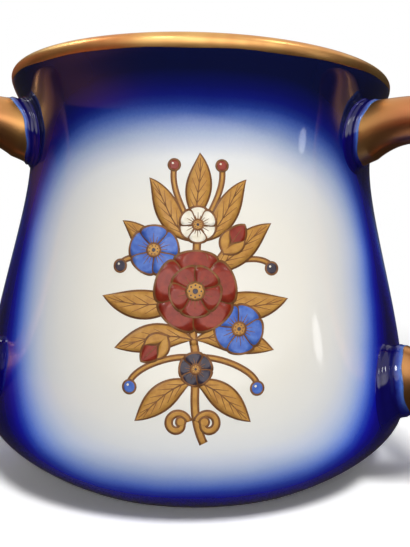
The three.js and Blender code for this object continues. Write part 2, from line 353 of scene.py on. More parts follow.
def new_surface(name, points, faces, materials, attributes=None):
    """A new object with a mesh. attributes are numbers or vectors at its points."""
    mesh = bpy.data.meshes.new(name)
    mesh.from_pydata(points.tolist(), [], faces)
    for material in materials:
        mesh.materials.append(material)
    for key, values in (attributes or {}).items():
        kind, field = ("FLOAT", "value") if values.size == len(points) else ("FLOAT_VECTOR", "vector")
        mesh.attributes.new(key, kind, "POINT").data.foreach_set(field, values.astype(np.float32).ravel())
    return put(name, mesh)


def add_piece(name, points, quads, materials, triangles=None, attributes=None, shares=None):
    """A closed, smooth mesh that rides on the mug's only body. shares is the number of the material on
    each of its faces."""
    points = points.reshape(-1, 3)
    triangles = np.zeros((0, 3), int) if triangles is None else triangles
    quads, triangles = turned_outwards(points, quads, triangles)
    piece = new_surface(name, points, quads.tolist() + triangles.tolist(), materials, attributes)
    if shares is not None:
        piece.data.polygons.foreach_set("material_index", shares.astype(np.int32))
    piece.data.shade_smooth()
    piece.data.update()
    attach(piece, "root")
    return piece


def turned(points, turn):
    """Points turned about the mug's axis."""
    cosine, sine = np.cos(turn), np.sin(turn)
    return points @ np.array([[cosine, sine, 0], [-sine, cosine, 0], [0, 0, 1]])


def facing(place, turn, rise, roll=0):
    """The matrix of a lamp or a camera at a place, which looks back from a turn from +X and a rise above
    level, and is rolled to the left."""
    return (Matrix.Translation(place) @ Matrix.Rotation(turn + TURN / 4, 4, "Z")
            @ Matrix.Rotation(TURN / 4 - rise, 4, "X") @ Matrix.Rotation(roll, 4, "Z"))


# Finishes

def add_node(tree, kind, inputs=None, stops=None, **settings):
    """Adds a node with its settings. inputs sets its sockets, or links those that are given an output,
    and stops are the places and colours of a ramp."""
    node = tree.nodes.new("ShaderNode" + kind)
    for key, value in settings.items():
        setattr(node, key, value)
    for key, value in (inputs or {}).items():
        if isinstance(value, bpy.types.NodeSocket):
            tree.links.new(value, node.inputs[key])
        else:
            node.inputs[key].default_value = value
    if stops:
        points = node.color_ramp.elements
        while len(points) < len(stops):
            points.new(1)
        for point, (place, code) in zip(points, stops):
            point.position = place
            point.color = (*linear(code), 1)
    return node


def bare_tree(block):
    """The node tree of a new material or world, emptied."""
    block.use_nodes = True
    block.node_tree.nodes.clear()
    return block.node_tree


def new_material(name):
    """A new material, its empty tree, and the place on the object for its patterns to read."""
    material = bpy.data.materials.new(name)
    tree = bare_tree(material)
    return material, tree, add_node(tree, "TexCoord").outputs["Object"]


def surfaced(material, tone, roughness, **others):
    """The material with one Principled shader, whose IOR stays 1.5, as that of a clear glaze is."""
    inputs = {"Base Color": tone, "Roughness": roughness, **others}
    shader = add_node(material.node_tree, "BsdfPrincipled", inputs)
    add_node(material.node_tree, "OutputMaterial", {"Surface": shader.outputs["BSDF"]})
    return material


def scale_of(millimetres):
    """Scale of a texture on Object coordinates whose pattern repeats about every so many millimetres."""
    return 1 / (millimetres * MM)


def two_tones(tree, place, millimetres, one, other, detail=2.0, span=(0.0, 1.0)):
    """A colour that drifts between two tones with a noise of a real size, pure at the ends of a span."""
    low, high = span
    noise = add_node(tree, "TexNoise", {"Vector": place, "Scale": scale_of(millimetres), "Detail": detail})
    drift = add_node(tree, "MapRange", {"Value": noise.outputs["Fac"], "From Min": low, "From Max": high})
    return add_node(tree, "Mix", {"Factor": drift.outputs[0], 6: (*one, 1), 7: (*other, 1)},
                    data_type="RGBA").outputs[2]


def strayed(tree, place, millimetres, value, amount, detail=2.0):
    """A value that strays by up to half an amount each way with a noise of a real size."""
    noise = add_node(tree, "TexNoise", {"Vector": place, "Scale": scale_of(millimetres), "Detail": detail})
    moved = add_node(tree, "Math", {0: noise.outputs["Fac"], 1: amount, 2: value}, operation="MULTIPLY_ADD")
    return add_node(tree, "Math", {0: moved.outputs[0], 1: amount / 2}, operation="SUBTRACT").outputs[0]


def rippled(tree, place, millimetres, height_mm):
    """A normal for ripples of a real height, from a noise of a real size."""
    noise = add_node(tree, "TexNoise", {"Vector": place, "Scale": scale_of(millimetres)})
    return add_node(tree, "Bump", {"Height": noise.outputs["Fac"], "Distance": height_mm * MM,
                                   "Strength": 1.0}).outputs["Normal"]


def cobalt_glaze():
    """Hard porcelain under a clear gloss glaze, with cobalt oxide air-brushed beneath it. The spray
    leaves a soft edge with a fine grain, pale blue before it turns to deep navy; the glaze mirrors."""
    material, tree, place = new_material("air_brushed_cobalt_under_glaze")
    distance = add_node(tree, "Attribute", attribute_name="panel_distance").outputs["Fac"]
    drifting = strayed(tree, place, 24, distance, 3.0)
    sprayed = strayed(tree, place, 0.5, drifting, 0.6, detail=1.0)
    first, last = COBALT_FADE[0][0], COBALT_FADE[-1][0]
    ramped = add_node(tree, "MapRange", {"Value": sprayed, "From Min": first, "From Max": last})
    fade = add_node(tree, "ValToRGB", {"Fac": ramped.outputs[0]},
                    stops=[((beyond - first) / (last - first), code) for beyond, code in COBALT_FADE])
    height = add_node(tree, "SeparateXYZ", {0: place})  # painted shade: the blue darkens towards the lip, where the lip's shadow falls
    raised = add_node(tree, "MapRange", {"Value": height.outputs["Z"], "From Min": 60 * MM,
                                         "From Max": 80 * MM, "To Max": 0.6})
    deep = add_node(tree, "MapRange", {"Value": sprayed, "From Min": -9.0, "From Max": 5.0})
    painted_lip_shade = add_node(tree, "Math", {0: raised.outputs[0], 1: deep.outputs[0]}, operation="MULTIPLY")
    # painted shade: near the lip the fade is mixed towards near-black navy
    lip_shaded_fade = add_node(tree, "Mix", {"Factor": painted_lip_shade.outputs[0], 6: fade.outputs["Color"],
                                   7: (0.003, 0.008, 0.014, 1)}, data_type="RGBA")
    return surfaced(material, lip_shaded_fade.outputs[2], 0.07, Normal=rippled(tree, place, 14, 0.03))


def white_glaze(colours):
    """Clear gloss glaze on white porcelain, slightly warm and a little wavy where it pooled."""
    material, tree, place = new_material("clear_glaze_on_porcelain")
    tone = two_tones(tree, place, 18, colours.white_glaze, linear("#DEDCD4"))
    return surfaced(material, tone, 0.07, Normal=rippled(tree, place, 14, 0.03))


def biscuit(colours):
    """Porcelain wiped free of glaze: matt, finely gritty and a little stained from use."""
    material, tree, place = new_material("unglazed_biscuit")
    tone = two_tones(tree, place, 3, colours.biscuit, linear("#B5A78D"), detail=5.0)
    return surfaced(material, tone, 0.75, Normal=rippled(tree, place, 0.4, 0.02))


def burnished_gilding(colours):
    """Fired gold rubbed bright: a soft mirror, redder where it is thin, with the waver of the brush."""
    material, tree, place = new_material("burnished_gilding")
    tone = two_tones(tree, place, 16, colours.gilding, colours.gilding_copper, detail=3.0, span=(0.38, 0.68))
    rubbed = add_node(tree, "TexNoise", {"Vector": place, "Scale": scale_of(4), "Detail": 4.0})
    rough = add_node(tree, "MapRange", {"Value": rubbed.outputs["Fac"], "To Min": 0.28, "To Max": 0.38})
    return surfaced(material, tone, rough.outputs[0], Metallic=1.0, Normal=rippled(tree, place, 5, 0.02))


def bronzed_gilding(colours):
    """Satin gold brushed along a handle: ochre near the coves and coppery away from them, with fine
    streaks that run with the loop."""
    material, tree, place = new_material("satin_bronze_gilding")
    lay = add_node(tree, "Attribute", attribute_name="lay").outputs["Vector"]
    drawn = add_node(tree, "VectorMath", {0: lay, 1: (1, 1, 0.12)}, operation="MULTIPLY")
    streak = add_node(tree, "TexNoise", {"Vector": drawn.outputs[0], "Scale": scale_of(1.6), "Detail": 3.0})
    root = add_node(tree, "Attribute", attribute_name="from_root")
    away = add_node(tree, "MapRange", {"Value": root.outputs["Fac"], "From Min": 3.0, "From Max": 14.0})
    mottled = strayed(tree, place, 15, away.outputs[0], 0.5)
    tone = add_node(tree, "Mix", {"Factor": mottled, 6: (*colours.bronze, 1), 7: (*colours.bronze_copper, 1)},
                    data_type="RGBA")
    rough = add_node(tree, "MapRange", {"Value": streak.outputs["Fac"], "To Min": 0.27, "To Max": 0.4})
    bump = add_node(tree, "Bump", {"Height": streak.outputs["Fac"], "Distance": 0.012 * MM, "Strength": 1.0})
    return surfaced(material, tone.outputs[2], rough.outputs[0], Metallic=1.0, Normal=bump.outputs["Normal"])


def slip_glaze():
    """Cobalt glaze over the slip that holds the handles: navy where it pooled in the hollow, cornflower blue
    where it ran thin on the edge beside the gold, and painted shade that darkens it to deep navy where the
    cove faces down."""
    material, tree, place = new_material("pooled_cobalt_on_slip")
    edge = add_node(tree, "Attribute", attribute_name="towards_gold").outputs["Fac"]
    fade = add_node(tree, "ValToRGB", {"Fac": strayed(tree, place, 2.5, edge, 0.12)}, stops=SLIP_FADE)
    up = add_node(tree, "Attribute", attribute_name="upness")
    facing_down_shade = add_node(tree, "MapRange", {"Value": up.outputs["Fac"], "From Min": -0.1, "From Max": -0.9})
    # painted shade: the glaze is darkened to deep navy where the cove faces down
    pooled = add_node(tree, "Mix", {"Factor": facing_down_shade.outputs[0], 6: fade.outputs["Color"],
                                    7: (*linear("#0A0750"), 1)}, data_type="RGBA")
    return surfaced(material, pooled.outputs[2], 0.06, Normal=rippled(tree, place, 3, 0.02))


def printed(name, tint, other, roughness):
    """A fired print or enamel: a thin raised film with the uneven tone of hand-wiped colour."""
    material, tree, place = new_material(name)
    tone = two_tones(tree, place, 1.3, tint, linear(other), detail=3.0, span=(0.35, 0.7))
    return surfaced(material, tone, roughness)


# The body

def outside_wall(body, density=1):
    """The body's outside from the underside to the widest place of the lip, as points (radius, height)
    and outward normals: three cubic curves, to the belly, to the waist and to the lip."""
    start = (body.underside_radius, body.underside_height)
    belly = (body.belly_radius, body.belly_height)
    waist = (body.waist_radius, body.overall_height - body.waist_drop)
    lip = (body.lip_radius, body.overall_height - body.wall / 2)
    below_belly, above_belly = body.belly_round
    below_waist, above_waist = body.waist_round
    first = directed(body.underside_slope, body.underside_lead)
    curves = ((start, first, (0, -below_belly), belly), (belly, (0, above_belly), (0, -below_waist), waist),
              (waist, (0, above_waist), (0, -body.lip_round_below), lip))
    points = joined(*(cubic(*curve, np.linspace(0, 1, number * density + 1))
                      for curve, number in zip(curves, WALL_STEPS)))
    return points, normals_of(points)


def over_lip(body, lift):
    """The outline of the wall from the belly's outside over the half-round lip to the belly's inside,
    moved outwards by a lift: the outside wall, half a circle and the same wall moved in by its thickness."""
    points, normals = outside_wall(body)
    upper = points[:, 1] >= body.belly_height
    points, normals = points[upper], normals[upper]
    bead = body.wall / 2
    centre = np.array([body.lip_radius - bead, body.overall_height - bead])
    turns = np.linspace(0, TURN / 2, BEND_POINTS)
    arc = centre + directed(turns, bead + lift).T
    inner = (points - (body.wall + lift) * normals)[::-1]
    return joined(points + lift * normals, arc, inner)


def panel_distance(decoration, turns, radii, heights):
    """Distance in millimetres from the nearest white panel's edge, negative within it. A panel is a
    rounded square on the unrolled wall: (|across / a|^n + |up / b|^n)^(1/n) = 1, with the distance
    taken as a times the difference from 1."""
    up = heights - decoration.panel_height
    reach_down, reach_up = decoration.panel_reach
    up = np.abs(np.where(up > 0, up / reach_up, up / reach_down))
    nearest = np.full(np.broadcast(turns, radii).shape, np.inf)
    for middle in FRONT + decoration.panel_turn + all_round(len(SIDES)):
        off = (turns - middle + TURN / 2) % TURN - TURN / 2
        across = np.abs(off * radii / decoration.panel_half_width)
        power = decoration.panel_squareness
        beyond = ((across ** power + up ** power) ** (1 / power) - 1) * decoration.panel_half_width
        nearest = np.minimum(nearest, beyond)
    return nearest / MM


class MUG_OT_body(bpy.types.Operator):
    """Turns the glazed body about its axis, with its foot ring, its rounded lip and its inside"""
    bl_idname = "mug.body"
    bl_label = "Glazed body"

    def execute(self, context):
        body = context.scene.mug_body
        ring_inside = body.foot_radius - body.foot_width
        foot = rounded([(0, body.recess), (ring_inside - body.recess, body.recess), (ring_inside, 0),
                        (body.foot_radius, 0), (body.foot_radius + body.foot_spread, body.foot_height),
                        (body.underside_radius, body.underside_height)], body.edge_round)[1:-1]
        recess = np.linspace((0, body.recess), foot[0], 12)[1:-1]
        wall, _ = outside_wall(body)
        below_belly = wall[wall[:, 1] < body.belly_height]
        lip = over_lip(body, 0)
        rim_of_floor = (body.floor_radius, body.floor)
        corner = cubic(lip[-1], (0, -body.corner_round), (body.floor_round, 0), rim_of_floor,
                       np.linspace(0, 1, BEND_POINTS))
        floor = np.linspace(rim_of_floor, (0, body.floor), 14)[:-1]
        profile = np.vstack([recess, foot, below_belly, joined(lip, corner, floor)])
        turns = all_round(body.segments)
        radii, heights = profile[:, :1], profile[:, 1:]
        poles = [(0, 0, body.recess), (0, 0, body.floor)]
        points = np.vstack([around(radii, turns, heights).reshape(-1, 3), poles])
        distance = panel_distance(context.scene.mug_decoration, turns, radii, heights)
        rows = len(profile)
        row = np.arange(rows - 1)
        bare_from = len(recess) + CORNER_POINTS
        bare_to = bare_from + 2 * CORNER_POINTS - 1
        inside_from = rows - len(corner) - len(floor) - len(lip) // 2
        white = (row < bare_from) | (row >= inside_from)
        finish = np.where((row >= bare_from) & (row < bare_to), 2, np.where(white, 1, 0))
        colours = context.scene.mug_colours
        piece = add_piece("glazed_body", points, ring_quads(rows, body.segments),
                          [cobalt_glaze(), white_glaze(colours), biscuit(colours)],
                          triangles=end_fans(rows, body.segments),
                          shares=np.append(np.repeat(finish, body.segments), np.ones(2 * body.segments)),
                          attributes={"panel_distance": np.append(distance, (20, 20))})
        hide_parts("cup_body")
        return {"FINISHED"}


class MUG_OT_lip(bpy.types.Operator):
    """Gilds the lip: a thin skin over the rounded edge, with slightly wavering lower edges"""
    bl_idname = "mug.lip"
    bl_label = "Gilt lip"

    def execute(self, context):
        body, decoration = context.scene.mug_body, context.scene.mug_decoration
        turns = all_round(body.segments)
        waver = np.sin(5 * turns + 1) + np.sin(11 * turns) + np.sin(17 * turns + 2)
        waver = decoration.gilt_waver * waver / 2
        outside = decoration.gilt_outside - decoration.gilt_thinner * np.sin(turns - FRONT) ** 2 + waver
        share_of = np.concatenate([[0], np.linspace(0.004, 0.996, 31), [1]])[:, None]
        skins = []
        for lift in (decoration.gilt_proud, -decoration.gilt_sunk):
            outline = over_lip(body, lift)
            length_to = lengths_along(outline)
            top = np.argmax(outline[:, 1])
            depth = body.overall_height - outline[:, 1]
            start = np.interp(outside, depth[top::-1], length_to[top::-1])
            stop = np.interp(decoration.gilt_inside - waver, depth[top:], length_to[top:])
            skins.append(read_off(start + share_of * (stop - start), length_to, outline))
        section = np.vstack([skins[0], skins[1][::-1]])
        piece = add_piece("gilt_lip", around(section[..., 0], turns, section[..., 1]),
                          ring_quads(len(section), body.segments, closed=True),
                          [burnished_gilding(context.scene.mug_colours)])
        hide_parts("gilt_rim")
        return {"FINISHED"}


# The handles

class Loop:
    """The centreline of a handle in its own plane, and its clearance of the body."""

    def __init__(self, body, handle):
        self.handle = handle
        self.wall, self.wall_normals = outside_wall(body, density=8)
        upper = self.root_at(body.overall_height - handle.upper_root_drop)
        lower = self.root_at(handle.lower_root_height)
        furthest = (handle.reach, handle.reach_height)
        below, above = handle.upright
        upper_lead = directed(handle.upper_root_rise, handle.lead[0])
        lower_lead = directed(handle.lower_root_rise, handle.lead[1])
        t = np.linspace(0, 1, LOOP_POINTS)
        self.centres = joined(cubic(upper, upper_lead, (0, above), furthest, t),
                              cubic(furthest, (0, -below), lower_lead, lower, t))
        self.lengths = lengths_along(self.centres)
        self.total = self.lengths[-1]
        self.tangents = np.gradient(self.centres, self.lengths, axis=0, edge_order=2)

    def root_at(self, height):
        """The point of the wall at a height."""
        return (np.interp(height, self.wall[:, 1], self.wall[:, 0]), height)

    def skin(self, along, turn, off=0):
        """Points on a handle's skin or at a distance off it: the centre at a length along the loop plus
        an ellipse, whose half-axes swell near the roots with the square of what is left of the flare.
        turn is 0 on the outside of the loop. The centreline runs on straight past its roots."""
        handle = self.handle
        along, turn, off = np.broadcast_arrays(along, turn, off)
        within = np.clip(along, 0, self.total)
        tangent = unit(read_off(within, self.lengths, self.tangents))
        centre = read_off(within, self.lengths, self.centres) + tangent * (along - within)[..., None]
        upper, lower = (np.clip(1 - (away - cove) / handle.flare_length, 0, 1) ** 2
                        for away, cove in zip((along, self.total - along), handle.cove_height))
        in_plane = handle.thickness / 2 * (1 + handle.upper_flare * upper + handle.lower_flare * lower) + off
        across = handle.width / 2 * (1 + handle.width_flare * (upper + lower)) + off
        skin = centre - right_of(tangent) * (in_plane * np.cos(turn))[..., None]
        return np.stack([skin[..., 0], across * np.sin(turn), skin[..., 1]], -1)

    def clearance(self, points):
        """Distance of points from the body's outside, negative within it, by the nearest point of the
        wall and its normal."""
        place = np.stack([np.hypot(points[..., 0], points[..., 1]), points[..., 2]], -1).reshape(-1, 2)
        low, high = place[:, 1].min() - WALL_REACH, place[:, 1].max() + WALL_REACH
        near = (self.wall[:, 1] > low) & (self.wall[:, 1] < high)
        wall, normals = self.wall[near], self.wall_normals[near]
        nearest = ((place[:, None] - wall) ** 2).sum(-1).argmin(1)
        distance = ((place - wall[nearest]) * normals[nearest]).sum(-1)
        return distance.reshape(points.shape[:-1])

    def along_at(self, upper, clear, turn, off=0):
        """Length along the loop at which the skin is a distance clear of the body near a root, by halving."""
        clear, turn, off = np.broadcast_arrays(clear, turn, off)
        low, high = (np.full(clear.shape, times * self.handle.thickness) for times in (-1, 2))
        for _ in range(HALVINGS):
            middle = (low + high) / 2
            along = middle if upper else self.total - middle
            short = self.clearance(self.skin(along, turn, off)) < clear
            low, high = np.where(short, middle, low), np.where(short, high, middle)
        return low if upper else self.total - low


def handle_points(loop):
    """A handle's skin as a grid of lines along it: each runs from just inside the body at one root to
    just inside it at the other. Also the lay of the brush, (width cos turn, width sin turn, along),
    and the distance in millimetres from the nearer root."""
    handle = loop.handle
    turns = all_round(handle.sides)
    start, stop = (loop.along_at(upper, -handle.root_depth, turns) for upper in (True, False))
    along = start + np.linspace(0, 1, handle.steps + 1)[:, None] * (stop - start)
    points = loop.skin(along, turns)
    lay = around(handle.width / 2, turns, along)
    from_root = np.minimum(along - start, stop - along) / MM
    return (np.vstack([points.reshape(-1, 3), points[[0, -1]].mean(1)]),
            np.vstack([lay.reshape(-1, 3), (0, 0, 0), (0, 0, loop.total)]), np.append(from_root, (0, 0)))


class MUG_OT_handles(bpy.types.Operator):
    """Sweeps a gilt handle along its loop for each side, with ends that swell into the body"""
    bl_idname = "mug.handles"
    bl_label = "Gilt handles"

    def execute(self, context):
        handle = context.scene.mug_handle
        points, lay, from_root = handle_points(Loop(context.scene.mug_body, handle))
        gilding = bronzed_gilding(context.scene.mug_colours)
        rows = handle.steps + 1
        for side, turn in SIDES.items():
            piece = add_piece(f"gilt_handle_{side}", turned(points, turn), ring_quads(rows, handle.sides),
                              [gilding], triangles=end_fans(rows, handle.sides),
                              attributes={"lay": lay, "from_root": from_root})
            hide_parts(f"handle_{side}")
        return {"FINISHED"}


def cove_points(loop, upper):
    """A cove of slip round a handle's end. Its section runs a quarter of an ellipse from the body,
    where it is level, to the handle's skin, where it is steep, with two low beads, and closes inside
    both. Also the share of the way towards the gold at each point, and how far up it faces."""
    handle = loop.handle
    turns = all_round(handle.sides)[:, None]
    top, lean, outside, beside, inside = (getattr(handle, f"cove_{part}")[0 if upper else 1] for part in
                                          ("height", "lean", "outside", "beside", "inside"))
    towards = np.cos(turns)
    width = beside + (outside - inside) / 2 * towards + ((outside + inside) / 2 - beside) * towards ** 2
    waver = handle.brush_waver * (np.sin(3 * turns + 1) + np.sin(7 * turns + 2 * upper))
    height = top + lean * towards + waver
    share_of = np.linspace(0, 1, BEND_POINTS)
    cosine, sine = directed(TURN / 4 * share_of)
    bead = sum(high * np.exp(-((share_of - middle) / half) ** 2) for middle, half, high in COVE_BEADS)
    bead = handle.cove_bead * bead / np.hypot(height * sine, width * cosine)
    off = width * (1 - sine) + handle.cove_proud + bead * height * sine
    clear = height * (1 - cosine) + handle.cove_proud + bead * width * cosine
    sunk = 0 * width - handle.cove_sunk
    off = np.concatenate([sunk, width, off, sunk], 1)
    clear = np.concatenate([sunk, sunk, clear, height], 1)
    points = loop.skin(loop.along_at(upper, clear, turns, off), turns, off)
    towards_gold = np.concatenate([[0, 0], share_of, [1]]) + 0 * turns
    # upness is read by the cove glaze to paint shade where a cove faces down
    upness = (1 if upper else -1) * towards + 0 * towards_gold
    return points.reshape(-1, 3), towards_gold, upness


class MUG_OT_coves(bpy.types.Operator):
    """Fills the corner round each handle end with a cove of glazed slip"""
    bl_idname = "mug.coves"
    bl_label = "Slip coves"

    def execute(self, context):
        handle = context.scene.mug_handle
        loop = Loop(context.scene.mug_body, handle)
        glaze = slip_glaze()
        for end in ("upper", "lower"):
            points, towards_gold, upness = cove_points(loop, end == "upper")
            columns = len(points) // handle.sides
            for side, turn in SIDES.items():
                piece = add_piece(f"cove_{end}_{side}", turned(points, turn),
                                  ring_quads(handle.sides, columns, closed=True), [glaze],
                                  attributes={"towards_gold": towards_gold, "upness": upness})
                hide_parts(f"slip_cove_{end}_{side}")
        return {"FINISHED"}


# The spray

def ribbon(midline, half, columns=5):
    """A ribbon as a grid of points: the midline plus its normal times the half width, from -1 to 1."""
    across = np.linspace(-1, 1, columns)[None, :, None]
    return midline[:, None] + normals_of(midline)[:, None] * across * np.asarray(half)[:, None, None]


def blade(start, end, width, bend=(0, 0), fullness=1.0, roundness=0.9, grow=0.0):
    """A leaf or a petal: a ribbon along a cubic curve, whose two leads bow sideways by shares of its
    length, with the half width width / 2 * sin(pi t^fullness)^roundness. grow enlarges it all round."""
    start, end = np.array(start, float), np.array(end, float)
    size, ahead = np.linalg.norm(end - start), unit(end - start)
    aside = -right_of(ahead)
    t = (1 - np.cos(np.linspace(0, TURN / 2, CURVE_POINTS))) / 2
    midline = cubic(start - grow * ahead, size * (0.35 * ahead + bend[0] * aside),
                    size * (bend[1] * aside - 0.35 * ahead), end + grow * ahead, t)
    rise = np.sin(np.clip(TURN / 2 * t ** fullness, 0.02, TURN / 2 - 0.02))
    return ribbon(midline, (width / 2 + grow) * rise ** roundness)


def disc(middle, radius, lobes=0, depth=0.0, steps=9):
    """A round shape as a grid, by the map from a square to a disc, x = a sqrt(1 - b^2 / 2) and
    y = b sqrt(1 - a^2 / 2), with a radius that waves by a depth over so many lobes."""
    a, b = np.meshgrid(np.linspace(-1, 1, steps), np.linspace(-1, 1, steps), indexing="ij")
    x, y = a * np.sqrt(1 - b * b / 2), b * np.sqrt(1 - a * a / 2)
    size = radius * (1 + depth * np.cos(lobes * np.arctan2(y, x)))
    return np.array(middle) + np.stack([x, y], -1) * size[..., None]


class Print:
    """The films of the printed spray, by colour: grids of points on the unrolled wall in millimetres
    right of and above its middle, each with its place in the order of printing."""

    def __init__(self, line):
        self.line = line / MM
        self.films = {}

    def film(self, colour, grid, level):
        """Keeps one film of a colour."""
        self.films.setdefault(colour, []).append((grid, level))

    def outlined(self, colour, shape, level, higher=1):
        """A shape over a brown one that is larger by the line all round. shape makes its grid, given
        how much to enlarge it."""
        self.film("outline", shape(self.line), level)
        self.film(colour, shape(0), level + higher)

    def hair(self, midline, width, level):
        """A thin brown line that tapers to its end."""
        half = np.linspace(width / 2, width / 5, len(midline))
        self.film("outline", ribbon(midline, half, columns=3), level)

    def leaf(self, start, end, width, bend, level):
        """An outlined gold leaf with a brown midrib and side veins."""
        self.outlined("gold", lambda grow: blade(start, end, width, bend, grow=grow), level)
        grid = blade(start, end, width, bend)
        midline = grid[:, 2]
        self.hair(midline[:-4], 0.34, level + 2)
        for row in range(7, 20, 3):
            for edge in (grid[:, 0], grid[:, -1]):
                tip = midline[row + 4] + 0.72 * (edge[row + 4] - midline[row + 4])
                self.hair(np.linspace(midline[row], tip, 6), 0.2, level + 2)

    def stalk(self, start, start_lead, end_lead, end, width):
        """An outlined gold stalk along a cubic curve, under all the rest."""
        midline = cubic(start, start_lead, end_lead, end, np.linspace(0, 1, CURVE_POINTS))
        self.outlined("gold", lambda grow: ribbon(midline, np.full(CURVE_POINTS, width / 2 + grow)), 0)

    def curl(self, start, heading, size, winds, level):
        """An outlined gold tendril that leaves its start in a direction and winds in to a ball, along a
        spiral whose radius falls to a third. winds is positive against the clock."""
        t = np.linspace(0, 1, 44)
        heading, sweep = np.radians(heading), np.sign(winds) * TURN / 4
        radii = size * (1 - 0.66 * t)
        middle = np.array(start) + directed(heading + sweep, size)
        midline = middle + directed(heading - sweep + TURN * winds * t, radii).T
        half = 0.28 + 0.16 * np.sin(TURN / 2 * t)
        self.outlined("gold", lambda grow: ribbon(midline, half + grow), level, higher=2)
        self.outlined("gold", lambda grow: disc(midline[-1], 0.72 + grow), level + 1, higher=2)

    def petals(self, middle, reach, number, turn, colour, level):
        """A ring of outlined petals, of which neighbours lie on different levels, with fine creases."""
        width = 1.8 * reach * np.sin(TURN / 2 / number)
        for k in range(number):
            on = level + 3 * (2 if k == number - 1 and number % 2 else k % 2)
            heading = turn + TURN * k / number
            start, end = middle + directed(heading, 0.1 * reach), middle + directed(heading, reach)
            self.outlined(colour, lambda grow: blade(start, end, width, (0, 0), 2.2, 0.5, grow), on)
            for off in (-0.3, 0, 0.3):
                way = directed(heading + off, reach)
                crease = np.linspace(middle + 0.3 * way, middle + (0.72 - abs(off) / 2) * way, 5)
                self.hair(crease, 0.2, on + 2)

    def blossom(self, middle, reach, number, turn, colour, level=12, double=False):
        """A flower seen from the front, with one or two rings of petals and a gold heart."""
        middle, turn = np.array(middle, float), np.radians(turn)
        self.petals(middle, reach, number, turn, colour, level)
        top, heart = level + 9, 0.24 * reach
        if double:
            self.petals(middle, 0.62 * reach, number, turn + TURN / 2 / number, colour, top)
            top, heart = top + 9, 0.2 * reach
        self.film("outline", disc(middle, heart + self.line), top)
        self.film("gold", disc(middle, heart, lobes=8, depth=0.05, steps=15), top + 1)
        self.film("dark", disc(middle, 0.34 * heart), top + 2)
        for heading in turn + all_round(8):
            self.film("dark", disc(middle + directed(heading, 0.74 * heart), 0.11 * heart, steps=5), top + 2)

    def bud(self, start, end, width, colour, level=10):
        """A closed bud in a gold cup of two sepals."""
        start, end = np.array(start, float), np.array(end, float)
        way = end - start
        self.outlined(colour, lambda grow: blade(start, end, width, (0, 0), 1.2, 0.7, grow), level)
        self.hair(np.linspace(start + 0.3 * way, end - 0.08 * way, 6), 0.22, level + 2)
        for turn in (-1, 1):
            tip = start + 0.62 * way - turn * 0.26 * right_of(way)
            bend = (0, turn * 0.2)
            self.outlined("gold", lambda grow: blade(start, tip, width / 2, bend, grow=grow), level + 3)

    def berry(self, middle, radius, colour, level=4):
        """A round berry with a small light."""
        self.outlined(colour, lambda grow: disc(middle, radius + grow), level)
        light = np.add(middle, (-0.3 * radius, 0.35 * radius))
        self.film("ivory", disc(light, 0.22 * radius, steps=5), level + 2)

    def compose(self):
        """Sets the motifs out: a slim stem with five pairs of leaves, curling tendrils, one large double
        flower in the middle, and smaller flowers, buds and berries on stalks."""
        self.stalk((2.2, -28.8), (-3.4, 7), (1.4, -6), (0, -10), 0.9)
        self.stalk((0, -10), (-1.4, 8), (0.6, -8), (0, 15), 0.9)
        for side in (-1, 1):
            self.curl((side * 0.7, -24.6), 90 - side * 12, 2.3, -side * 1.05, 2)
            self.stalk((side * 0.3, -12.5), (side * 4, 1), (0, 3), (side * 12.6, -18.0), 0.5)
            self.stalk((side * 0.3, 1), (side * 5, 7), (-side * 2, 2), (side * 15.2, 6.2), 0.5)
            self.stalk((side * 0.3, 12), (side * 3, 6), (side * 0.6, -4), (side * 4.9, 26.0), 0.5)
            self.leaf((side * 0.4, -17), (side * 11, -24.6), 4.4, (side * 0.14, side * 0.02), 4)
            self.leaf((side * 0.4, -9), (side * 15.6, -11.0), 4.8, (side * 0.16, side * 0.06), 7)
            self.leaf((side * 2, -1), (side * 18.8, -0.8), 5.2, (-side * 0.1, -side * 0.12), 4)
            self.leaf((side * 2, 5), (side * 15.2, 14.6), 4.8, (-side * 0.14, side * 0.04), 7)
            self.leaf((side * 0.3, 11), (side * 9.8, 23.6), 4.4, (-side * 0.2, side * 0.04), 4)
            self.berry((side * 12.6, -18.4), 1.1, "blue")
            self.berry((side * 15.6, 5.4), 1.1, "dark")
            self.berry((side * 4.9, 26.6), 1.0, "red")
        self.leaf((0, 15), (0.3, 28.8), 4.6, (0.05, -0.06), 7)
        self.bud((5.6, 8.4), (9.6, 14.2), 3.6, "red")
        self.bud((-5.4, -8.4), (-10.2, -13.2), 3.6, "red")
        self.blossom((-8.6, 8.8), 4.9, 5, 20, "blue")
        self.blossom((8.8, -6.8), 4.7, 5, 60, "blue")
        self.blossom((0.2, 14.2), 3.6, 6, 90, "ivory")
        self.blossom((0.4, -14.6), 3.0, 5, 30, "dark")
        self.blossom((0, 0.6), 8.0, 5, 90, "red", level=24, double=True)


def slab(grid, level):
    """The points (right, up, level) of a film, once on its level and once below the glaze, and the quads
    of its two faces and its edge."""
    rows, columns = grid.shape[:2]
    one_side = rows * columns
    flat = grid.reshape(-1, 2)
    points = np.vstack([np.insert(flat, 2, height, axis=1) for height in (level, BELOW_GLAZE)])
    number = np.arange(one_side).reshape(rows, columns)
    face = np.stack([number[:-1, :-1], number[1:, :-1], number[1:, 1:], number[:-1, 1:]], -1).reshape(-1, 4)
    edge = np.concatenate([number[0, :-1], number[:-1, -1], number[-1, :0:-1], number[:0:-1, 0]])
    after = np.roll(edge, -1)
    wall = np.stack([edge, after, after + one_side, edge + one_side], -1)
    quads = np.vstack([face, face[:, ::-1] + one_side, wall])
    a, b, c = (flat[face[:, k]] for k in range(3))
    if np.sum(np.cross(b - a, c - a)) < 0:
        quads = quads[:, ::-1]
    return points, quads


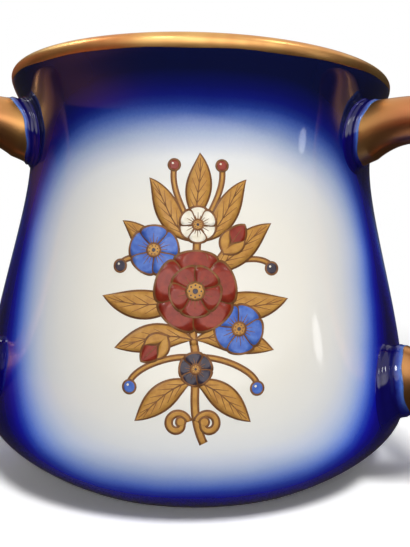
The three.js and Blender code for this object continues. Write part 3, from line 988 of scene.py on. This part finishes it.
class MUG_OT_spray(bpy.types.Operator):
    """Prints the spray of flowers on the front panel, as thin films of gold and enamel"""
    bl_idname = "mug.spray"
    bl_label = "Printed spray"

    def execute(self, context):
        decoration, colours = context.scene.mug_decoration, context.scene.mug_colours
        wall, normals = outside_wall(context.scene.mug_body, density=4)
        length_to = lengths_along(wall)
        middle = np.interp(decoration.spray_height, wall[:, 1], length_to)
        spray = Print(decoration.line)
        spray.compose()
        finishes = {
            "outline": printed("brown_print", colours.print_line, "#84562C", 0.5),
            "gold": printed("matt_print_gold", colours.print_gold, "#A87430", 0.42),
            "blue": printed("blue_enamel", colours.print_blue, "#5074BE", 0.3),
            "red": printed("red_enamel", colours.print_red, "#8C2A12", 0.3),
            "ivory": printed("ivory_enamel", colours.print_ivory, "#DAD0B8", 0.3),
            "dark": printed("dark_enamel", colours.print_dark, "#3A3444", 0.3)}
        for colour_name, finish in finishes.items():
            parts, faces, total = [], [], 0
            for grid, level in spray.films[colour_name]:
                points, quads = slab(grid, level)
                parts.append(points)
                faces.append(quads + total)
                total += len(points)
            right, up, level = np.vstack(parts).T
            along = middle + up * MM
            radius, height = read_off(along, length_to, wall).T
            out, over = read_off(along, length_to, normals).T
            proud = decoration.print_base + level * decoration.print_step
            lift = np.where(level < 0, -decoration.print_sunk, proud)
            turns = FRONT + decoration.spray_turn + right * MM / radius
            points = around(radius + lift * out, turns, height + lift * over)
            add_piece(f"spray_{colour_name}", points, np.vstack(faces), [finish])
        return {"FINISHED"}


# The stage

class MUG_OT_stage(bpy.types.Operator):
    """Lays the pale floor, hangs the light tent, sets the lights and places the camera"""
    bl_idname = "mug.stage"
    bl_label = "Stage"

    def execute(self, context):
        stage = context.scene.mug_stage
        context.scene.view_settings.view_transform = "Standard"
        self.lay_floor(stage)
        self.hang_tent(stage)
        self.light(context.scene)
        self.place_camera(context.scene, stage)
        return {"FINISHED"}

    def lay_floor(self, stage):
        """A pale floor that keeps the mug's shadow. Seen by the camera or in a mirror, its colour is
        brighter, and turns into plain white away from the mug."""
        material, tree, place = new_material("white_sweep")
        plain, white, brighter = (add_node(tree, "BsdfDiffuse", {"Color": (grey, grey, grey, 1)}).outputs[0]
                                  for grey in (0.8, 1, 0.85))
        near = add_node(tree, "AddShader", {0: white, 1: brighter})
        far = add_node(tree, "Emission", {"Color": (1, 1, 1, 1), "Strength": 1.0})
        away = add_node(tree, "VectorMath", {0: place}, operation="LENGTH")
        share = add_node(tree, "MapRange", {"Value": away.outputs["Value"], "From Min": 120 * MM,
                                            "From Max": 350 * MM}, interpolation_type="SMOOTHSTEP")
        sweep = add_node(tree, "MixShader", {0: share.outputs[0], 1: near.outputs[0], 2: far.outputs[0]})
        shader = add_node(tree, "MixShader", {0: self.seen(tree), 1: plain, 2: sweep.outputs[0]})
        add_node(tree, "OutputMaterial", {"Surface": shader.outputs[0]})
        half = stage.floor_size / 2
        corners = np.array([(-half, -half, 0), (half, -half, 0), (half, half, 0), (-half, half, 0)])
        floor = new_surface("floor", corners, [(0, 1, 2, 3)], [material])

    def seen(self, tree):
        """1 for a ray that the camera, a mirror or a glass sends."""
        path = add_node(tree, "LightPath")
        first = add_node(tree, "Math", {0: path.outputs["Is Camera Ray"], 1: path.outputs["Is Glossy Ray"]},
                         operation="MAXIMUM")
        return add_node(tree, "Math", {0: first.outputs[0], 1: path.outputs["Is Transmission Ray"]},
                        operation="MAXIMUM").outputs[0]

    def hang_tent(self, stage):
        """A dome and a table mat that only mirror in the glaze and the gold: dark, with a wide pale card
        before the front, whose edges are soft, a pale sky, and reddish wood low on the left. The glow at
        each point is a sum of bell curves of the turn times smooth steps of the rise above level."""
        turns = all_round(120)
        rises = np.concatenate([np.full(16, -TURN / 8), np.linspace(0, TURN / 4, 61)[:-1]])[:, None]
        radii = stage.tent_radius * np.where(rises < 0, np.linspace(0.03, 5, 76)[:, None], np.cos(rises))
        heights = stage.tent_radius * np.sin(np.maximum(rises, 0)) + 1 * MM

        def bell(middle, spread):
            off = (turns - FRONT - middle + TURN / 2) % TURN - TURN / 2
            return np.exp(-(off / spread) ** 2)

        def step(start, stop):
            t = np.clip((np.degrees(rises) - start) / (stop - start), 0, 1)
            return t * t * (3 - 2 * t)

        card_from = 6 - 6 * np.cos(2 * (turns - FRONT))  # degrees up: 0 in front, 12 at the sides
        sky_from = 24 - 10 * np.cos(turns - FRONT)  # degrees up: 14 in front, 34 behind
        card = bell(stage.card_turn, stage.card_spread) * step(card_from, card_from + 6) * (1 - step(18, 30))
        pale = stage.card_glow * card + stage.top_glow * step(sky_from, sky_from + 16)
        table = np.where(rises < 0, np.clip((radii / MM - 150) / 150, 0, 1), 0)  # from 150 to 300 mm out
        wall = 0.45 * step(9, 15) * (1 - step(24, 34))
        wood = bell(-np.radians(62), np.radians(26)) * table + bell(-np.radians(115), np.radians(40)) * wall
        glow = pale[..., None] * CARD_WHITE + (stage.wood_glow * wood)[..., None] * WOOD_RED + TENT_DARK
        material = bpy.data.materials.new("felt_and_card")
        tree = bare_tree(material)
        colour_of = add_node(tree, "Attribute", attribute_name="glow").outputs["Vector"]
        shade = add_node(tree, "Emission", {"Color": colour_of, "Strength": 1.0})
        add_node(tree, "OutputMaterial", {"Surface": shade.outputs[0]})
        tent = new_surface("light_tent", around(radii, turns, heights).reshape(-1, 3),
                           ring_quads(len(rises), len(turns)).tolist(), [material], {"glow": glow})
        for ray in ("camera", "diffuse", "shadow", "transmission"):
            setattr(tent, f"visible_{ray}", False)

    def light(self, scene):
        """An even world, a key and a low lamp that light the mug without a mirror image, and four narrow
        ones that only show as glints in the glaze and the gold."""
        scene.world = bpy.data.worlds.new("studio")
        tree = bare_tree(scene.world)
        even, white = (add_node(tree, "Background", {"Color": (1, 1, 1, 1), "Strength": strength}).outputs[0]
                       for strength in (0.15, 1.0))
        shader = add_node(tree, "MixShader", {0: self.seen(tree), 1: even, 2: white})
        add_node(tree, "OutputWorld", {"Surface": shader.outputs[0]})
        for name, place in LAMPS.items():
            self.hang_lamp(name, *place).visible_glossy = False
        for name, place in GLINTS.items():
            glint = self.hang_lamp(name, *place)
            glint.data.shape = "ELLIPSE"
            glint.visible_diffuse = False

    def hang_lamp(self, name, turn, rise, away, width, height, watts):
        """An area lamp at a turn to the right of the front and a rise above level, in degrees, and at a
        distance in millimetres from the mug's middle, which it faces."""
        lamp = bpy.data.lights.new(name, "AREA")
        lamp.shape = "RECTANGLE"
        lamp.size, lamp.size_y = width * MM, height * MM
        lamp.energy = watts
        turn, rise = FRONT + np.radians(turn), np.radians(rise)
        place = around(np.cos(rise), turn, np.sin(rise)) * away * MM + (0, 0, MUG_MIDDLE)
        hung = put(name, lamp)
        hung.matrix_world = facing(place, turn, rise)
        return hung

    def place_camera(self, scene, stage):
        """Places the camera by its distance, height and turn, then turns, tilts and rolls its view."""
        turn = FRONT + stage.camera_turn
        lens = bpy.data.cameras.new("camera")
        lens.lens, lens.sensor_width, lens.clip_start = stage.lens, 36, 10 * MM
        lens.shift_x, lens.shift_y = stage.shift_right, stage.shift_up
        scene.camera = put("camera", lens)
        place = around(stage.distance, turn, stage.camera_height)
        scene.camera.matrix_world = facing(place, turn - stage.yaw, stage.pitch, stage.roll)


class MUG_PT_build(bpy.types.Panel):
    """Lists the steps that build the mug"""
    bl_idname = "MUG_PT_build"
    bl_label = "Three-handled mug"
    bl_space_type = "VIEW_3D"
    bl_region_type = "UI"
    bl_category = "Mug"

    def draw(self, context):
        for operator in OPERATORS:
            self.layout.operator(operator.bl_idname)


OPERATORS = (MUG_OT_body, MUG_OT_lip, MUG_OT_handles, MUG_OT_coves, MUG_OT_spray, MUG_OT_stage)
GROUPS = {"mug_body": BodySizes, "mug_handle": HandleSizes, "mug_decoration": DecorationSizes,
          "mug_colours": Colours, "mug_stage": StageSizes}


def register():
    for group in GROUPS.values():
        bpy.utils.register_class(group)
    for name, group in GROUPS.items():
        setattr(bpy.types.Scene, name, PointerProperty(type=group))
    for item in (*OPERATORS, MUG_PT_build):
        bpy.utils.register_class(item)


def unregister():
    for item in (MUG_PT_build, *reversed(OPERATORS)):
        bpy.utils.unregister_class(item)
    for name in GROUPS:
        delattr(bpy.types.Scene, name)
    for group in GROUPS.values():
        bpy.utils.unregister_class(group)


def main():
    register()
    bpy.ops.mug.body()
    bpy.ops.mug.lip()
    bpy.ops.mug.handles()
    bpy.ops.mug.coves()
    bpy.ops.mug.spray()
    bpy.ops.mug.stage()


if __name__ == "__main__":
    main()
